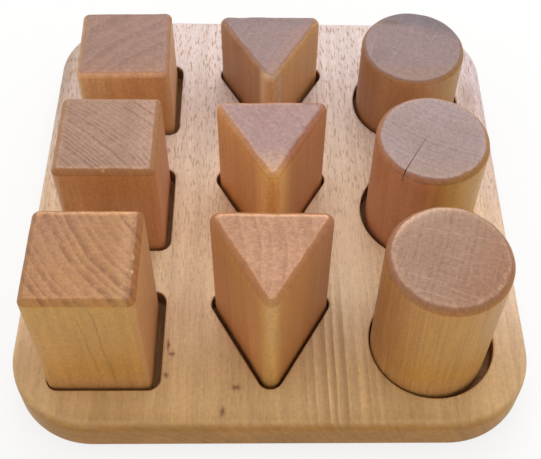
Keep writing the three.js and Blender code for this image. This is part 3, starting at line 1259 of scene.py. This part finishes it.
def splitBlock(piece, look, block):
    # a drying crack: a thin dark wedge from near the middle out through the side
    crack = look["crack"]
    height = block["high"] - block["low"]
    reach = block["half"] + crack["overrun"]
    turn = math.radians(crack["turn"])
    along = Vector((math.cos(turn), math.sin(turn), 0.0))
    aside = Vector((-along.y, along.x, 0.0))
    narrow, deep = crack["shoulder"]
    rings = []
    for k in range(crack["steps"] + 1):
        share = k / crack["steps"]
        swerve = noise.noise(Vector((share * crack["strayWaves"], crack["straySeed"], 0.0)))
        middle = along * (crack["start"] + share * (reach - crack["start"]))
        middle += aside * (crack["offset"] + crack["stray"] * swerve)
        half = crack["tip"] + 0.5 * crack["width"] * share ** crack["widening"]
        depth = crack["shallow"] + (crack["depth"] - crack["shallow"]) * share ** crack["deepening"]
        corners = [
            (half, crack["overrun"]),
            (-half, crack["overrun"]),
            (-narrow * half, -deep * depth),
            (0.0, -depth),
            (narrow * half, -deep * depth),
        ]
        rings.append([middle + aside * a + Vector((0.0, 0.0, height + z)) for a, z in corners])
    bm = bmesh.new()
    rows = addRings(bm, rings)
    bm.faces.new(rows[0][::-1])
    bm.faces.new(rows[-1])
    inside = {**look, "side": crack["inside"], "end": crack["inside"], "toneAndLight": ()}
    cutter = addPiece("crack_wedge", bm, piece.matrix_world, [beechMaterial("crack_shaded_beech", inside)])
    cut = piece.modifiers.new("crack", "BOOLEAN")
    cut.operation = "DIFFERENCE"
    cut.solver = "EXACT"
    cut.material_mode = "TRANSFER"
    cut.object = cutter
    bpy.context.view_layer.update()
    graph = bpy.context.evaluated_depsgraph_get()
    mesh = bpy.data.meshes.new_from_object(piece.evaluated_get(graph))
    mesh.set_sharp_from_angle(angle=math.radians(crack["crisp"]))
    piece.modifiers.clear()
    piece.data = mesh
    bpy.data.objects.remove(cutter)


def makeBlock(node, block, seed):
    look = {**blockWood, **blockLooks[node]}
    material = beechMaterial(node.replace("_block", "_beech"), look)
    x, y = block["middle"]
    place = Matrix.Translation(Vector((x, y, block["low"])) * mm) @ Matrix.Rotation(block["turn"], 4, "Z")
    piece = addPiece(node.replace("block", "piece"), blockMesh(block, look, seed), place, [material])
    if "crack" in look:
        splitBlock(piece, look, block)
    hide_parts(node)
    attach(piece, node)


makeBoard()
print("board made")
for seed, (node, block) in enumerate(blocks.items()):
    makeBlock(node, block, blockMake["seedStep"] * seed)
print("blocks made")


# Studio

photo = {
    "width": 541,
    "height": 459,
    "focal": 981.64,  # in pixels
    "axis": (297.93, 192.59),  # where the lens looks, in pixels
    "position": (-2.40, -256.89, 356.58),  # in millimetres
    "tilt": 52.87,  # down from the level, in degrees
    "pan": 3.06,
    "roll": 2.67,
    "sensor": 36.0,
}

studio = {
    "floorSize": 4.0,  # in metres, as the softbox
    "floorColour": srgb(244, 243, 241),
    "floorRoughness": 0.9,
    "floorShine": 0.1,
    "floorGlow": 0.75,
    "floorDrop": 0.05,  # below the board, in millimetres
    "skyColour": (1.0, 1.0, 1.0, 1.0),
    "skyLevel": 0.9,
    "softboxSize": (1.1, 0.7),
    "softboxAt": (0.15, 1.05, 0.95),
    "softboxPower": 7.0,
}


def makeCamera():
    tilt, pan, roll = (math.radians(photo[name]) for name in ("tilt", "pan", "roll"))
    ahead = Vector((math.sin(pan) * math.cos(tilt), math.cos(pan) * math.cos(tilt), -math.sin(tilt)))
    level = Vector((math.cos(pan), -math.sin(pan), 0.0))
    rise = level.cross(ahead)
    right = math.cos(roll) * level + math.sin(roll) * rise
    up = math.cos(roll) * rise - math.sin(roll) * level
    data = bpy.data.cameras.new("photo_camera")
    data.sensor_fit = "HORIZONTAL"
    data.sensor_width = photo["sensor"]
    data.lens = photo["focal"] / photo["width"] * photo["sensor"]
    data.shift_x = (photo["width"] / 2 - photo["axis"][0]) / photo["width"]
    data.shift_y = (photo["axis"][1] - photo["height"] / 2) / photo["width"]
    camera = bpy.data.objects.new("photo_camera", data)
    turn = Matrix((right, up, -ahead)).transposed().to_4x4()
    camera.matrix_world = Matrix.Translation(Vector(photo["position"]) * mm) @ turn
    bpy.context.scene.collection.objects.link(camera)
    bpy.context.scene.camera = camera


def cameraRays(tree):
    # 1 for what the lens sees directly, in a reflection or through glass
    path = addNode(tree, "ShaderNodeLightPath")
    seen = calc(tree, "MAXIMUM", path.outputs["Is Camera Ray"], path.outputs["Is Glossy Ray"])
    return calc(tree, "MAXIMUM", seen, path.outputs["Is Transmission Ray"])


def makeFloor():
    mesh = bpy.data.meshes.new("studio_floor")
    half = studio["floorSize"] / 2
    corners = [(-half, -half, 0.0), (half, -half, 0.0), (half, half, 0.0), (-half, half, 0.0)]
    mesh.from_pydata(corners, [], [(0, 1, 2, 3)])
    floor = bpy.data.objects.new("studio_floor", mesh)
    floor.location.z = -studio["floorDrop"] * mm
    bpy.context.scene.collection.objects.link(floor)
    material = bpy.data.materials.new("studio_paper")
    material.use_nodes = True
    tree = material.node_tree
    shader = tree.nodes["Principled BSDF"]
    shader.inputs["Base Color"].default_value = studio["floorColour"]
    shader.inputs["Roughness"].default_value = studio["floorRoughness"]
    shader.inputs["Specular IOR Level"].default_value = studio["floorShine"]
    # part of the paper's own white, so that the shadow stays and stays soft
    glow = addNode(tree, "ShaderNodeEmission", {"Color": (1.0, 1.0, 1.0, 1.0), "Strength": 1.0})
    share = calc(tree, "MULTIPLY", cameraRays(tree), studio["floorGlow"])
    paper = addNode(tree, "ShaderNodeMixShader")
    feed(tree, paper.inputs[0], share)
    feed(tree, paper.inputs[1], shader.outputs["BSDF"])
    feed(tree, paper.inputs[2], glow.outputs["Emission"])
    feed(tree, tree.nodes["Material Output"].inputs["Surface"], paper.outputs["Shader"])
    mesh.materials.append(material)


def makeLights():
    world = bpy.data.worlds.new("studio_sky")
    bpy.context.scene.world = world
    world.use_nodes = True
    tree = world.node_tree
    background = tree.nodes["Background"]
    background.inputs["Color"].default_value = studio["skyColour"]
    level = calc(tree, "MULTIPLY_ADD", cameraRays(tree), 1.0 - studio["skyLevel"], studio["skyLevel"])
    feed(tree, background.inputs["Strength"], level)
    lamp = bpy.data.lights.new("softbox", "AREA")
    lamp.shape = "RECTANGLE"
    lamp.size, lamp.size_y = studio["softboxSize"]
    lamp.energy = studio["softboxPower"]
    box = bpy.data.objects.new("softbox", lamp)
    box.location = studio["softboxAt"]
    box.rotation_euler = (-box.location).to_track_quat("-Z", "Y").to_euler()
    bpy.context.scene.collection.objects.link(box)


makeCamera()
makeFloor()
makeLights()
bpy.context.scene.view_settings.view_transform = "Standard"
print("studio made")
